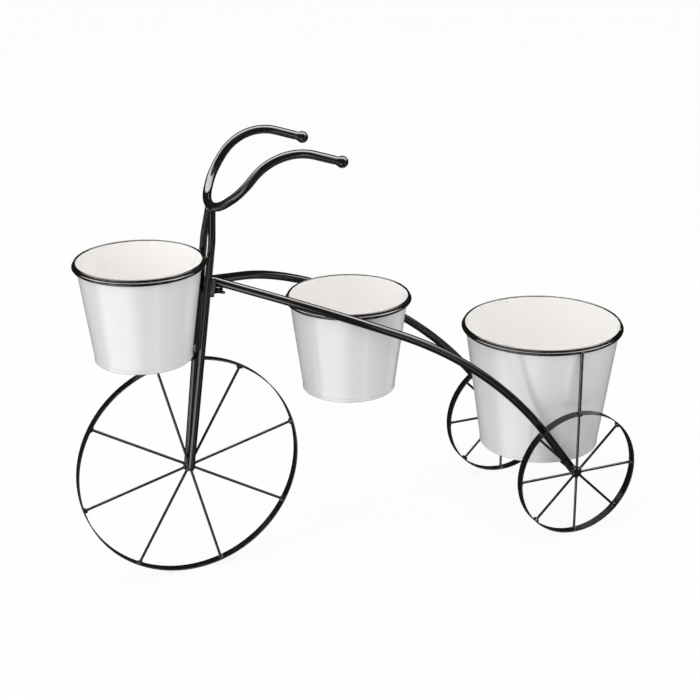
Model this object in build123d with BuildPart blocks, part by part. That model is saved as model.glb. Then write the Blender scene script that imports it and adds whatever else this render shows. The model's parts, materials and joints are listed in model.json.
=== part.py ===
from build123d import *
from math import cos, radians, sin, sqrt, tan
import os

# Bicycle-shaped plant stand that carries three lift-out pots.
# Millimetres, +Z up. The front wheel is towards -X and the pair of rear wheels towards +X.
# The origin is on the ground, under the middle of the overall box.

os.makedirs("parts", exist_ok=True)

# Wheels
front_wheel_d = 254.0
rear_wheel_d = 150.0
wheelbase = 440.8
strip_width = 10.8
strip_thick = 1.2
strip_edge = 0.35
spoke_d = 3.0
spoke_count = 8
front_spoke_turn = 15.0
rear_spoke_turn = 0.0
spoke_weld_d = 6.4
spoke_weld_len = 2.4
hub_d = 11.0
hub_width = 5.0
hub_chamfer = 0.6
axle_d = 6.0

# Round bar, wire and tube of the frame
fork_bar_d = 8.0
frame_tube_d = 9.5
frame_tube_wall = 1.0
ring_wire_d = 4.0
post_d = 4.0

# Fork: two bars that lean back, part over the wheel and close under the handlebar
fork_rake = 6.85
fork_half_top = 4.1
fork_half_wide = 13.2
fork_wide_below_top = 36.0
fork_bend_r = 40.0
fork_weld_bite = 0.3

# Handlebar: one tube, flat where it crosses the fork, then up, back and slightly down
handlebar_height = 422.4
bar_flat_half = 18.6
bar_low_back = 18.0
bar_low_half = 46.6
bar_low_rise = 22.7
bar_top_back = 56.8
bar_top_half = 57.5
bar_top_rise = 71.3
bar_end_back = 127.1
bar_end_half = 56.9
bar_end_rise = 47.2
bar_flat_r = 42.7
bar_low_r = 51.7
bar_top_r = 59.3
ball_d = 13.0
ball_cone_d = 10.0
ball_cone_len = 4.2
ball_spigot_len = 12.0
spigot_gap = 0.05

# Pots: rolled bead, sheet walls and a seamed base, in a small and a large size
sheet = 0.45
bead_d = 2.6
wire_gap = 0.05
small_rim_r = 66.0
small_foot_r = 51.5
small_height = 108.5
large_rim_r = 90.8
large_foot_r = 70.0
large_height = 149.0
foot_bead_proud = 0.7
foot_bead_height = 4.0
foot_bead_slope = 0.8
base_rise = 4.5
base_thick = 0.5
base_flange = 3.0
base_gap = 0.05

# Places of the pots: the front one hangs ahead of the fork, and the middle one is measured
# back from the front hub
front_ring_gap = 1.15
front_rim_height = 372.2
middle_pot_back = 192.5
middle_rim_height = 299.9
rear_rim_height = 229.0

# Seats of the pots in their rings, and the weld beads that hold two of the rings
ring_wall_gap = 0.5
seat_gap = 0.3
weld_d = 5.0
middle_weld_back = -17.0

# Backbone: two tubes that part at the fork, pass the middle ring and run down to the axle
# The front corner is placed from the middle ring and the rear one from the axle. Each bend
# takes up a share of the run between the two.
backbone_joint_rise = 11.3
backbone_joint_half = 1.5
backbone_front_ahead = 58.1
backbone_front_rise = 16.5
backbone_front_gap = 1.5
backbone_rear_ahead = 107.1
backbone_rear_rise = 148.5
backbone_rear_swell = 1.3
backbone_front_share = 0.305
backbone_rear_share = 0.577
wheel_side_gap = 1.0
trim_spare = 10.0

# Weld fit: the gap left between a spoke's end and the hoop it is welded to
weld_gap = 0.02

# Clamp between fork and backbone: two plates, a bolt, a washer and a wing nut.
# The plates and the tubes' joint are placed from the bolt, along the fork.
bolt_height = 329.3
bolt_d = 5.0
bolt_hole_d = 5.5
bolt_head_flats = 8.0
bolt_head_height = 3.5
bolt_head_chamfer = 0.4
bolt_spare = 4.0
bolt_chamfer = 0.6
plate_thick = 2.5
plate_width = 20.0
plate_above_bolt = 16.8
plate_below_bolt = 5.8
plate_corner_r = 3.0
washer_d = 9.6
washer_thick = 1.0
nut_foot_d = 9.0
nut_top_d = 7.5
nut_height = 7.0
nut_bore_gap = 0.05
wing_span = 22.0
wing_height = 11.0
wing_root = 0.8
wing_bite = 1.0
wing_blade = 4.0
wing_thick = 2.2
wing_corner_r = 1.2


def seat_ring(rim_r, slope):
    """Radius of a pot ring's centre line, and how far it lies below the centre of the bead."""
    bead_r = bead_d / 2
    wire_r = ring_wire_d / 2
    ring_r = rim_r + sheet + ring_wall_gap + wire_r - slope * (bead_r + wire_r)
    offset = ring_r - (rim_r + bead_r)
    reach = bead_r + wire_r + seat_gap
    return ring_r, sqrt(reach**2 - offset**2)


small_slope = (small_rim_r + sheet - small_foot_r) / small_height
large_slope = (large_rim_r + sheet - large_foot_r) / large_height
small_ring_r, small_ring_drop = seat_ring(small_rim_r, small_slope)
large_ring_r, large_ring_drop = seat_ring(large_rim_r, large_slope)

# The rear wheels stand under the sides of the large ring, and the box runs from the front
# wheel to the back of that ring, so the origin falls halfway between the two.
half_track = large_ring_r
rear_end = wheelbase + large_ring_r + ring_wire_d / 2
front_x = (front_wheel_d / 2 - rear_end) / 2
rear_x = front_x + wheelbase
rear_z = rear_wheel_d / 2
front_hub_point = Vector(front_x, 0, front_wheel_d / 2)

middle_pot_x = front_x + middle_pot_back
front_ring_z = front_rim_height - small_ring_drop
middle_ring_z = middle_rim_height - small_ring_drop
rear_ring_z = rear_rim_height - large_ring_drop

fork_up = Vector(sin(radians(fork_rake)), 0, cos(radians(fork_rake)))
fork_back = Vector(cos(radians(fork_rake)), 0, -sin(radians(fork_rake)))


def on_fork(height):
    """Point of the fork's middle line at a height above the ground."""
    return front_hub_point + fork_up * ((height - front_hub_point.Z) / fork_up.Z)


def wheel_plane(x, y, z):
    """Plane of a wheel: its Z axis lies along the axle and its Y axis points up."""
    return Plane(origin=(x, y, z), x_dir=(1, 0, 0), z_dir=(0, -1, 0))


def plane_between(start, end):
    """Plane at start whose Z axis points at end, and the distance between the two."""
    return Plane(origin=start, z_dir=end - start), (end - start).length


def bend_radius(corner_points, reach):
    """Radius of the bend at the middle one of three points that starts a reach away from it."""
    before, corner, after = corner_points
    turn = radians((corner - before).get_angle(after - corner))
    return reach / tan(turn / 2)


def bent_line(points, radii):
    """Straight runs joined by tangent arcs, as a bender leaves a bar's middle line."""
    with BuildLine() as line:
        FilletPolyline(*points, radius=radii)
    return line.wire()


def bent_bar(route, diameter):
    """Round bar along a bent line."""
    with BuildPart() as bar:
        with BuildSketch(Plane(origin=route @ 0, z_dir=route % 0)):
            Circle(diameter / 2)
        sweep(path=route)
    return bar.part


# Wheels: a strip hoop, spokes that flare into their welds, and a hub disc
def make_wheel(prefix, plane, wheel_d, first_spoke):
    inner_r = wheel_d / 2 - strip_thick
    with BuildPart() as rim:
        with BuildSketch(plane.offset(-strip_width / 2)):
            Circle(wheel_d / 2)
            Circle(inner_r, mode=Mode.SUBTRACT)
        extrude(amount=strip_width)
        fillet(rim.edges().filter_by(GeomType.CIRCLE), radius=strip_edge)
    rim.part.label = f"{prefix}_rim"
    export_step(rim.part, f"parts/{prefix}_rim.step")

    spoke_start = hub_d / 4
    spoke_len = inner_r - spoke_start
    with BuildPart(plane) as spokes:
        with PolarLocations(spoke_start + spoke_len / 2, spoke_count, start_angle=first_spoke):
            Cylinder(spoke_d / 2, spoke_len, rotation=(0, 90, 0))
        with PolarLocations(inner_r - spoke_weld_len / 2, spoke_count, start_angle=first_spoke):
            Cone(spoke_d / 2, spoke_weld_d / 2, spoke_weld_len, rotation=(0, 90, 0))
        Cylinder(inner_r - weld_gap, strip_width, mode=Mode.INTERSECT)
        Cylinder(hub_d / 2, strip_width, mode=Mode.SUBTRACT)
    spokes.part.label = f"{prefix}_spokes"
    export_step(spokes.part, f"parts/{prefix}_spokes.step")

    with BuildPart(plane) as hub:
        Cylinder(hub_d / 2, hub_width)
        chamfer(hub.edges().filter_by(GeomType.CIRCLE), length=hub_chamfer)
    hub.part.label = f"{prefix}_hub"
    export_step(hub.part, f"parts/{prefix}_hub.step")
    return rim.part


front_plane = wheel_plane(front_x, 0, front_hub_point.Z)
make_wheel("front_wheel", front_plane, front_wheel_d, front_spoke_turn)
rear_rims = {}
for prefix, side in (("rear_wheel_left", 1), ("rear_wheel_right", -1)):
    rear_plane = wheel_plane(rear_x, side * half_track, rear_z)
    rear_rims[side] = make_wheel(prefix, rear_plane, rear_wheel_d, rear_spoke_turn)

with BuildPart(wheel_plane(rear_x, 0, rear_z)) as rear_axle:
    Cylinder(axle_d / 2, 2 * half_track - hub_width)
rear_axle.part.label = "rear_axle"
export_step(rear_axle.part, "parts/rear_axle.step")

# Handlebar: one side's corners are placed from the foot on the fork, and mirrored
bar_foot = on_fork(handlebar_height)
bar_top = bar_foot + Vector(bar_top_back, bar_top_half, bar_top_rise)
ball_centre = bar_foot + Vector(bar_end_back, bar_end_half, bar_end_rise)
grip_dir = (ball_centre - bar_top).normalized()
ball_shoulder = sqrt((ball_d / 2) ** 2 - (ball_cone_d / 2) ** 2)
tube_end = ball_centre - grip_dir * (ball_shoulder + ball_cone_len)
bar_side = [
    bar_foot + Vector(0, bar_flat_half, 0),
    bar_foot + Vector(bar_low_back, bar_low_half, bar_low_rise),
    bar_top,
    tube_end,
]
bar_other_side = [Vector(p.X, -p.Y, p.Z) for p in reversed(bar_side)]
bar_radii = [bar_top_r, bar_low_r, bar_flat_r, bar_flat_r, bar_low_r, bar_top_r]
bar_route = bent_line(bar_other_side + bar_side, bar_radii)
bar_solid = bent_bar(bar_route, frame_tube_d)

with BuildPart() as handlebar_tube:
    add(bar_solid)
    add(bent_bar(bar_route, frame_tube_d - 2 * frame_tube_wall), mode=Mode.SUBTRACT)
handlebar_tube.part.label = "handlebar_tube"
export_step(handlebar_tube.part, "parts/handlebar_tube.step")

# Ball ends: a spigot in the tube's bore, a cone that widens and a ball, turned as one piece
spigot_r = frame_tube_d / 2 - frame_tube_wall - spigot_gap
ball_top = ball_cone_len + ball_shoulder + ball_d / 2
for name, side in (("ball_end_left", 1), ("ball_end_right", -1)):
    seat = Vector(tube_end.X, side * tube_end.Y, tube_end.Z)
    along = Vector(grip_dir.X, side * grip_dir.Y, grip_dir.Z)
    across = along.cross(Vector(0, 0, 1)).normalized()
    profile_plane = Plane(origin=seat, x_dir=across, z_dir=across.cross(along))
    with BuildPart() as ball_end:
        with BuildSketch(profile_plane):
            with BuildLine():
                Polyline(
                    (0, ball_top),
                    (0, -ball_spigot_len),
                    (spigot_r, -ball_spigot_len),
                    (spigot_r, 0),
                    (ball_cone_d / 2, ball_cone_len),
                )
                ThreePointArc(
                    (ball_cone_d / 2, ball_cone_len),
                    (ball_d / 2, ball_cone_len + ball_shoulder),
                    (0, ball_top),
                )
            make_face()
        revolve(axis=Axis(seat, along))
    ball_end.part.label = name
    export_step(ball_end.part, f"parts/{name}.step")

# Fork bars: flat where they are welded to the hub, and fitted to the handlebar's underside
fork_foot_half = hub_width / 2 + fork_bar_d / 2 - fork_weld_bite
fork_wide_height = handlebar_height - fork_wide_below_top
fork_bars = {}
for name, side in (("fork_bar_left", 1), ("fork_bar_right", -1)):
    fork_points = [
        front_hub_point + Vector(0, side * fork_foot_half, 0),
        on_fork(fork_wide_height) + Vector(0, side * fork_half_wide, 0),
        on_fork(handlebar_height) + Vector(0, side * fork_half_top, 0),
    ]
    with BuildPart() as fork_bar:
        add(bent_bar(bent_line(fork_points, [fork_bend_r]), fork_bar_d))
        add(bar_solid, mode=Mode.SUBTRACT)
        with Locations(front_hub_point):
            Box(2 * hub_d, hub_width, 2 * hub_d, mode=Mode.SUBTRACT)
    fork_bars[side] = fork_bar.part
    fork_bar.part.label = name
    export_step(fork_bar.part, f"parts/{name}.step")

# Clamp: the two plates lie face to face behind the fork bars, with the bolt below the tubes.
# In this plane X is across the stand, Y runs up the fork and Z points back.
clamp_plane = Plane(origin=on_fork(bolt_height), x_dir=(0, 1, 0), z_dir=fork_back)
fork_face = fork_bar_d / 2
plates_back = fork_face + 2 * plate_thick
for name, start in (("fork_plate", fork_face), ("backbone_plate", fork_face + plate_thick)):
    with BuildPart() as plate:
        with BuildSketch(clamp_plane.offset(start)):
            with Locations((0, (plate_above_bolt - plate_below_bolt) / 2)):
                plate_len = plate_above_bolt + plate_below_bolt
                RectangleRounded(plate_width, plate_len, plate_corner_r)
            Circle(bolt_hole_d / 2, mode=Mode.SUBTRACT)
        extrude(amount=plate_thick)
    plate.part.label = name
    export_step(plate.part, f"parts/{name}.step")

nut_start = plates_back + washer_thick
bolt_end = nut_start + nut_height + bolt_spare
with BuildPart() as clamp_bolt:
    with BuildSketch(clamp_plane.offset(fork_face - bolt_head_height)):
        RegularPolygon(bolt_head_flats / 2, 6, major_radius=False)
    extrude(amount=bolt_head_height)
    chamfer(
        clamp_bolt.faces().sort_by(Axis(clamp_plane.origin, fork_back))[0].edges(),
        bolt_head_chamfer,
    )
    with BuildSketch(clamp_plane.offset(fork_face)):
        Circle(bolt_d / 2)
    extrude(amount=bolt_end - fork_face)
    chamfer(
        clamp_bolt.faces().sort_by(Axis(clamp_plane.origin, fork_back))[-1].edges(),
        bolt_chamfer,
    )
clamp_bolt.part.label = "clamp_bolt"
export_step(clamp_bolt.part, "parts/clamp_bolt.step")

with BuildPart() as clamp_washer:
    with BuildSketch(clamp_plane.offset(plates_back)):
        Circle(washer_d / 2)
        Circle(bolt_hole_d / 2, mode=Mode.SUBTRACT)
    extrude(amount=washer_thick)
clamp_washer.part.label = "clamp_washer"
export_step(clamp_washer.part, "parts/clamp_washer.step")

nut_plane = clamp_plane.offset(nut_start)
with BuildPart() as wing_nut:
    for turn in (1, -1):
        outward = clamp_plane.x_dir * turn
        blade_plane = Plane(
            origin=nut_plane.origin,
            x_dir=outward,
            z_dir=outward.cross(fork_back),
        )
        with BuildSketch(blade_plane) as blade:
            with BuildLine():
                Polyline(
                    (nut_top_d / 2 - wing_bite, wing_root),
                    (nut_foot_d / 2, wing_root),
                    (wing_span / 2, wing_height - wing_blade),
                    (wing_span / 2, wing_height),
                    (wing_span / 2 - wing_blade / 2, wing_height),
                    (nut_top_d / 2 - wing_bite, nut_height - wing_root),
                    close=True,
                )
            make_face()
            fillet(blade.vertices().group_by(Axis.X)[-1], radius=wing_corner_r)
        extrude(amount=wing_thick / 2, both=True)
    with BuildSketch(nut_plane):
        Circle(nut_foot_d / 2)
    with BuildSketch(nut_plane.offset(nut_height)):
        Circle(nut_top_d / 2)
    loft()
    with BuildSketch(nut_plane):
        Circle(bolt_d / 2 + nut_bore_gap)
    extrude(amount=nut_height, mode=Mode.SUBTRACT)
wing_nut.part.label = "wing_nut"
export_step(wing_nut.part, "parts/wing_nut.step")

# Backbone tubes: cut to the plate in front, mitred to each other, and seated on the axle
plate_back_plane = clamp_plane.offset(plates_back)
joint_point = on_fork(bolt_height) + fork_up * backbone_joint_rise + fork_back * plates_back
front_half = small_ring_r + ring_wire_d / 2 + backbone_front_gap
end_half = half_track - strip_width / 2 - wheel_side_gap - frame_tube_d / 2
backbone_routes = {}
for name, side, kept in (
    ("backbone_tube_left", 1, Keep.BOTTOM),
    ("backbone_tube_right", -1, Keep.TOP),
):
    joint = joint_point + Vector(0, side * backbone_joint_half, 0)
    front_corner = Vector(
        middle_pot_x - backbone_front_ahead,
        side * front_half,
        middle_ring_z + backbone_front_rise,
    )
    rear_corner = Vector(
        rear_x - backbone_rear_ahead,
        side * (end_half + backbone_rear_swell),
        rear_z + backbone_rear_rise,
    )
    tail = Vector(rear_x, side * end_half, rear_z)
    lead_in = joint - (front_corner - joint).normalized() * trim_spare
    corners = [lead_in, front_corner, rear_corner, tail]
    run = (rear_corner - front_corner).length
    front_r = bend_radius(corners[0:3], backbone_front_share * run)
    rear_r = bend_radius(corners[1:4], backbone_rear_share * run)
    route = bent_line(corners, [front_r, rear_r])
    backbone_routes[side] = route
    with BuildPart() as backbone_tube:
        add(bent_bar(route, frame_tube_d))
        add(bent_bar(route, frame_tube_d - 2 * frame_tube_wall), mode=Mode.SUBTRACT)
        split(bisect_by=plate_back_plane, keep=Keep.TOP)
        split(bisect_by=Plane.XZ, keep=kept)
        add(rear_axle.part, mode=Mode.SUBTRACT)
    backbone_tube.part.label = name
    export_step(backbone_tube.part, f"parts/{name}.step")

# Pot rings: closed wire hoops. The front one hangs a small gap ahead of the fork bars.
share = (front_ring_z - front_hub_point.Z) / (fork_wide_height - front_hub_point.Z)
front_weld_half = fork_foot_half + share * (fork_half_wide - fork_foot_half)
front_weld_back = sqrt(small_ring_r**2 - front_weld_half**2)
front_weld_x = on_fork(front_ring_z).X - fork_bar_d / 2 - ring_wire_d / 2 - front_ring_gap
front_pot_x = front_weld_x - front_weld_back
rings = {}
for name, x, z, radius in (
    ("front_pot_ring", front_pot_x, front_ring_z, small_ring_r),
    ("middle_pot_ring", middle_pot_x, middle_ring_z, small_ring_r),
    ("rear_pot_ring", rear_x, rear_ring_z, large_ring_r),
):
    with BuildPart(Plane(origin=(x, 0, z))) as ring:
        Torus(radius, ring_wire_d / 2)
    rings[name] = ring.part
    ring.part.label = name
    export_step(ring.part, f"parts/{name}.step")

# Weld beads: they join the front ring to the fork and the middle ring to the backbone tubes
with BuildPart() as front_ring_welds:
    for side in (1, -1):
        on_ring = Vector(front_pot_x + front_weld_back, side * front_weld_half, front_ring_z)
        on_bar = on_fork(front_ring_z) + Vector(0, side * front_weld_half, 0)
        weld_plane, weld_len = plane_between(on_ring, on_bar)
        with BuildSketch(weld_plane):
            Circle(weld_d / 2)
        extrude(amount=weld_len)
        add(fork_bars[side], mode=Mode.SUBTRACT)
    add(rings["front_pot_ring"], mode=Mode.SUBTRACT)
front_ring_welds.part.label = "front_ring_welds"
export_step(front_ring_welds.part, "parts/front_ring_welds.step")

middle_weld_half = sqrt(small_ring_r**2 - middle_weld_back**2)
with BuildPart() as middle_ring_welds:
    for side in (1, -1):
        on_ring = Vector(middle_pot_x + middle_weld_back, side * middle_weld_half, middle_ring_z)
        on_tube = backbone_routes[side].distance_to_with_closest_points(on_ring)[1]
        weld_plane, weld_len = plane_between(on_ring, on_tube)
        with BuildSketch(weld_plane):
            Circle(weld_d / 2)
        extrude(amount=weld_len)
        add(bent_bar(backbone_routes[side], frame_tube_d), mode=Mode.SUBTRACT)
    add(rings["middle_pot_ring"], mode=Mode.SUBTRACT)
middle_ring_welds.part.label = "middle_ring_welds"
export_step(middle_ring_welds.part, "parts/middle_ring_welds.step")

# Ring posts: they stand on the rear hoops and carry the large ring
for name, side in (("ring_post_left", 1), ("ring_post_right", -1)):
    post_foot = Plane(origin=(rear_x, side * half_track, rear_wheel_d - strip_thick / 2))
    with BuildPart() as ring_post:
        with BuildSketch(post_foot):
            Circle(post_d / 2)
        extrude(amount=rear_ring_z - post_foot.origin.Z)
        add(rear_rims[side], mode=Mode.SUBTRACT)
        add(rings["rear_pot_ring"], mode=Mode.SUBTRACT)
    ring_post.part.label = name
    export_step(ring_post.part, f"parts/{name}.step")


# Pots: a tapered sheet wall with a rolled bead on top, the wire in that bead, and the base
def make_pot(prefix, x, rim_height, rim_r, foot_r, height, slope):
    bead_r = bead_d / 2
    foot_plane = Plane(origin=(x, 0, rim_height - height), x_dir=(1, 0, 0), z_dir=(0, -1, 0))
    pot_axis = Axis((x, 0, 0), (0, 0, 1))

    def wall_inside(z):
        return foot_r - sheet + slope * z

    with BuildPart() as wall:
        with BuildSketch(foot_plane):
            with BuildLine():
                Polyline(
                    (wall_inside(0), 0),
                    (foot_r + foot_bead_proud, 0),
                    (foot_r + foot_bead_proud, foot_bead_height - foot_bead_slope),
                    (foot_r + slope * foot_bead_height, foot_bead_height),
                    (rim_r + sheet, height),
                    (rim_r, height),
                    close=True,
                )
            make_face()
            with Locations((rim_r + bead_r, height)):
                Circle(bead_r)
                Circle(bead_r - sheet, mode=Mode.SUBTRACT)
        revolve(axis=pot_axis)
    wall.part.label = f"{prefix}_wall"
    export_step(wall.part, f"parts/{prefix}_wall.step")

    with BuildPart(Plane(origin=(x, 0, rim_height))) as rim_wire:
        Torus(rim_r + bead_r, bead_r - sheet - wire_gap)
    rim_wire.part.label = f"{prefix}_rim_wire"
    export_step(rim_wire.part, f"parts/{prefix}_rim_wire.step")

    base_low = base_rise - base_flange
    base_top = base_rise + base_thick
    with BuildPart() as base:
        with BuildSketch(foot_plane):
            with BuildLine():
                Polyline(
                    (0, base_rise),
                    (wall_inside(base_rise) - base_gap - base_thick, base_rise),
                    (wall_inside(base_low) - base_gap - base_thick, base_low),
                    (wall_inside(base_low) - base_gap, base_low),
                    (wall_inside(base_top) - base_gap, base_top),
                    (0, base_top),
                    close=True,
                )
            make_face()
        revolve(axis=pot_axis)
    base.part.label = f"{prefix}_base"
    export_step(base.part, f"parts/{prefix}_base.step")


small = (small_rim_r, small_foot_r, small_height, small_slope)
large = (large_rim_r, large_foot_r, large_height, large_slope)
make_pot("front_pot", front_pot_x, front_rim_height, *small)
make_pot("middle_pot", middle_pot_x, middle_rim_height, *small)
make_pot("rear_pot", rear_x, rear_rim_height, *large)
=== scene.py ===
import json
import math

import bpy
import numpy as np
from mathutils import Matrix, Vector

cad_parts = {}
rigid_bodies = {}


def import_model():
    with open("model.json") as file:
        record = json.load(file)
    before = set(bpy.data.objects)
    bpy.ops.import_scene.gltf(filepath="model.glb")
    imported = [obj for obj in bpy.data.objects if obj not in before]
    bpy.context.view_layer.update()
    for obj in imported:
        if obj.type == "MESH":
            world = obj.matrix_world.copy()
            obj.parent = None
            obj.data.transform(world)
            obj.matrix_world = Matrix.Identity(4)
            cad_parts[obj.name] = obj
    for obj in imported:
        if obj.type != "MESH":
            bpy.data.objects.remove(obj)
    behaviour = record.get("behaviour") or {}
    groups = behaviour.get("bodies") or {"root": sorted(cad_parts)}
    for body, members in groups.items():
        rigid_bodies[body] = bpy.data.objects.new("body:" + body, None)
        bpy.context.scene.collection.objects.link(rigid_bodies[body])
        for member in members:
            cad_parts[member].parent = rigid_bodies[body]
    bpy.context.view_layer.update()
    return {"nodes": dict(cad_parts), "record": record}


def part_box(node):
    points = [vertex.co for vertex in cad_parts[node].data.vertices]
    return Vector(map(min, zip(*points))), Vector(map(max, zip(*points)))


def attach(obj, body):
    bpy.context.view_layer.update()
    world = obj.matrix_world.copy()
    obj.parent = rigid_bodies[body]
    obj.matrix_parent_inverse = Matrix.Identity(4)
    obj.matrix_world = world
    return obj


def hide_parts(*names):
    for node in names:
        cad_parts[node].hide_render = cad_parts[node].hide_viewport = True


bl_info = {
    "name": "Bicycle plant stand",
    "version": (1, 0, 0),
    "blender": (4, 5, 0),
    "location": "View3D > Sidebar > Plant stand",
    "description": "Dresses the bicycle plant stand: enamelled pots, welds, ball ends and paint",
    "category": "Object",
}

for leftover in list(bpy.data.objects):
    bpy.data.objects.remove(leftover)

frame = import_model()
MM = 0.001

# Level directions away from the camera and to its right.
BEHIND = (0.388, 0.922)
RIGHTWARDS = (0.922, -0.388)
CAMERA_PLACE = (-0.7118, -1.6643, 0.9430)
CAMERA_TURN_TILT_ROLL = (-22.853, 21.447, -0.310)

# What gloss reflects: middle, half width, half height, softness of the edge and colour.
SOFTBOXES = (
    ((0.07, 0.16, 0.98), 0.85, 0.31, 0.15, (13.0, 12.2, 11.8)),
    ((-0.83, -0.34, -0.45), 0.52, 0.34, 0.35, (3.7, 3.7, 3.95)),
    ((0.29, -0.90, -0.33), 0.04, 0.35, 0.5, (2.4, 2.5, 2.8)),
)

WHEELS = ("front_wheel", "rear_wheel_left", "rear_wheel_right")
SPOKES = 8
FRONT_SPOKE_START = 15.0

# Radius of the foot in mm, and the noise level above which the black rim is chipped.
POTS = {
    "front_pot": (51.5, 0.665),
    "middle_pot": (51.5, 0.66),
    "rear_pot": (70.0, 0.655),
}
INNER_TURN_END = -128.0
FAR_OUTSIDE = 40.0
BEAD_RUN = (-2.7, 6.0)

BALL_RADIUS = 6.5
GRIP_DIRECTION = (70.3, -0.6, -24.1)
NECK = (
    (0.0, -20.0),
    (3.6, -20.0),
    (3.6, -8.5),
    (3.75, -8.2),
    (3.95, -7.8),
    (4.25, -7.0),
    (4.6, -6.1),
    (4.95, -5.2),
    (5.25, -4.3),
)


# ---------------------------------------------------------------- places read from the frame


def box_centre(node):
    """Middle of a CAD node's box, in metres, as a numpy array."""
    low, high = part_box(node)
    return (np.array(low) + np.array(high)) / 2


def pot_place(prefix):
    """Axis point at the foot, bead's outer radius and full height of a pot, in metres."""
    low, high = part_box(prefix + "_wall")
    foot = np.array(((low.x + high.x) / 2, 0.0, low.z))
    return foot, (high.x - low.x) / 2, high.z - low.z


# ---------------------------------------------------------------- numpy surfaces


def unit(v):
    """Vectors along the last axis, scaled to length one."""
    v = np.asarray(v, float)
    return v / np.linalg.norm(v, axis=-1, keepdims=True)


def circle_turns(steps):
    """Angles of a closed circle, the last one short of a full turn."""
    return np.linspace(0, 2 * np.pi, steps, endpoint=False)


def grid_faces(rows, columns, wrap_rows):
    """Quads of a grid whose columns close on themselves, and its rows too if asked.

    Quad (i, j) takes points (i, j), (i, j+1), (i+1, j+1) and (i+1, j)."""
    i, j = np.meshgrid(np.arange(rows if wrap_rows else rows - 1), np.arange(columns))
    i, j = i.ravel(), j.ravel()
    i2, j2 = (i + 1) % rows, (j + 1) % columns
    corners = ((i, j), (i, j2), (i2, j2), (i2, j))
    return np.stack([a * columns + b for a, b in corners], axis=-1)


def surface(name, points, wrap_rows=False, crease=40.0):
    """Mesh object from a grid of points (rows, columns, 3), smooth up to the crease angle."""
    rows, columns = points.shape[:2]
    mesh = bpy.data.meshes.new(name)
    faces = grid_faces(rows, columns, wrap_rows)
    mesh.from_pydata(points.reshape(-1, 3).tolist(), [], faces.tolist())
    obj = bpy.data.objects.new(name, mesh)
    bpy.context.scene.collection.objects.link(obj)
    mesh.shade_smooth()
    mesh.set_sharp_from_angle(angle=math.radians(crease))
    return obj


def turned(profile, centre, along, steps):
    """Points of a profile turned about an axis.

    point(i, k) = centre + along * z_i + (side * cos a_k + across * sin a_k) * r_i"""
    along = unit(along)
    helper = np.array((1.0, 0, 0)) if abs(along[0]) < 0.9 else np.array((0, 1.0, 0))
    side = unit(helper - along * helper.dot(along))
    across = np.cross(along, side)
    turn = circle_turns(steps)
    spoke = side * np.cos(turn)[:, None] + across * np.sin(turn)[:, None]
    r, z = profile[:, 0], profile[:, 1]
    return centre + z[:, None, None] * along + r[:, None, None] * spoke


def arc(centre, radius, start, end, steps):
    """Points (r, z) on a circle from one angle to another, in degrees."""
    a = np.radians(np.linspace(start, end, steps))
    return np.stack((centre[0] + radius * np.cos(a), centre[1] + radius * np.sin(a)), -1)


def line(start, end, steps):
    """Points evenly spaced on a straight run, the last one left out."""
    t = np.linspace(0, 1, steps, endpoint=False)[:, None]
    return np.asarray(start) * (1 - t) + np.asarray(end) * t


def soft_waves(count, seed):
    """Seeded amplitudes, wave numbers and phases for a smooth uneven surface."""
    rng = np.random.default_rng(seed)
    sizes = rng.uniform(0.4, 1.0, count)
    numbers = rng.integers(1, 6, (count, 2))
    return sizes, numbers, rng.uniform(0, 6.3, count)


def drop_cloud(name, drops, grain, ripple=0.16, seed=3):
    """Weld metal: overlapping lumpy drops, fused to one skin by a voxel remesh.

    Each drop is centre + axes * (cos v cos u, cos v sin u, sin v) * (1 + ripple * waves)."""
    rows, columns = 11, 20
    u = circle_turns(columns)[None, :]
    v = np.linspace(-np.pi / 2, np.pi / 2, rows)[:, None]
    ball = np.stack((np.cos(v) * np.cos(u), np.cos(v) * np.sin(u), np.sin(v) + 0 * u), -1)
    vertices, faces, base = [], [], 0
    quads = grid_faces(rows, columns, False)
    for number, (centre, axes) in enumerate(drops):
        size, wave, phase = soft_waves(4, seed + number)
        waves = sum(
            s * np.sin(w[0] * u + w[1] * v * 2 + p) for s, w, p in zip(size, wave, phase)
        )
        swell = 1 + ripple * waves / len(size)
        swell[0], swell[-1] = swell[0].mean(), swell[-1].mean()
        vertices.append((np.asarray(centre) + ball * swell[..., None] * axes).reshape(-1, 3))
        faces.append(quads + base)
        base += rows * columns
    mesh = bpy.data.meshes.new(name)
    mesh.from_pydata(np.concatenate(vertices).tolist(), [], np.concatenate(faces).tolist())
    obj = bpy.data.objects.new(name, mesh)
    bpy.context.scene.collection.objects.link(obj)
    remesh = obj.modifiers.new("fuse", "REMESH")
    remesh.mode, remesh.voxel_size = "VOXEL", grain
    smooth = obj.modifiers.new("settle", "SMOOTH")
    smooth.factor, smooth.iterations = 0.5, 4
    bake_modifiers(obj)
    obj.data.shade_smooth()
    return obj


def bake_modifiers(obj):
    """Puts the modifiers' result into the mesh, so that nothing on the piece stays live."""
    graph = bpy.context.evaluated_depsgraph_get()
    baked = bpy.data.meshes.new_from_object(obj.evaluated_get(graph), depsgraph=graph)
    baked.name = obj.name
    obj.modifiers.clear()
    obj.data = baked


# ---------------------------------------------------------------- shader node groups


def new_group(name, inputs, outputs):
    """Empty shader node group with named float or colour sockets."""
    group = bpy.data.node_groups.new(name, "ShaderNodeTree")
    for label, kind, default in inputs:
        socket = group.interface.new_socket(label, in_out="INPUT", socket_type=kind)
        socket.default_value = default
    for label, kind in outputs:
        group.interface.new_socket(label, in_out="OUTPUT", socket_type=kind)
    return group, group.nodes.new("NodeGroupInput"), group.nodes.new("NodeGroupOutput")


def add_node(tree, kind, **settings):
    """New node, with its properties set, or its inputs where the name is a socket's."""
    node = tree.nodes.new(kind)
    for key, value in settings.items():
        if hasattr(node, key):
            setattr(node, key, value)
        else:
            node.inputs[key].default_value = value
    return node


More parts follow.
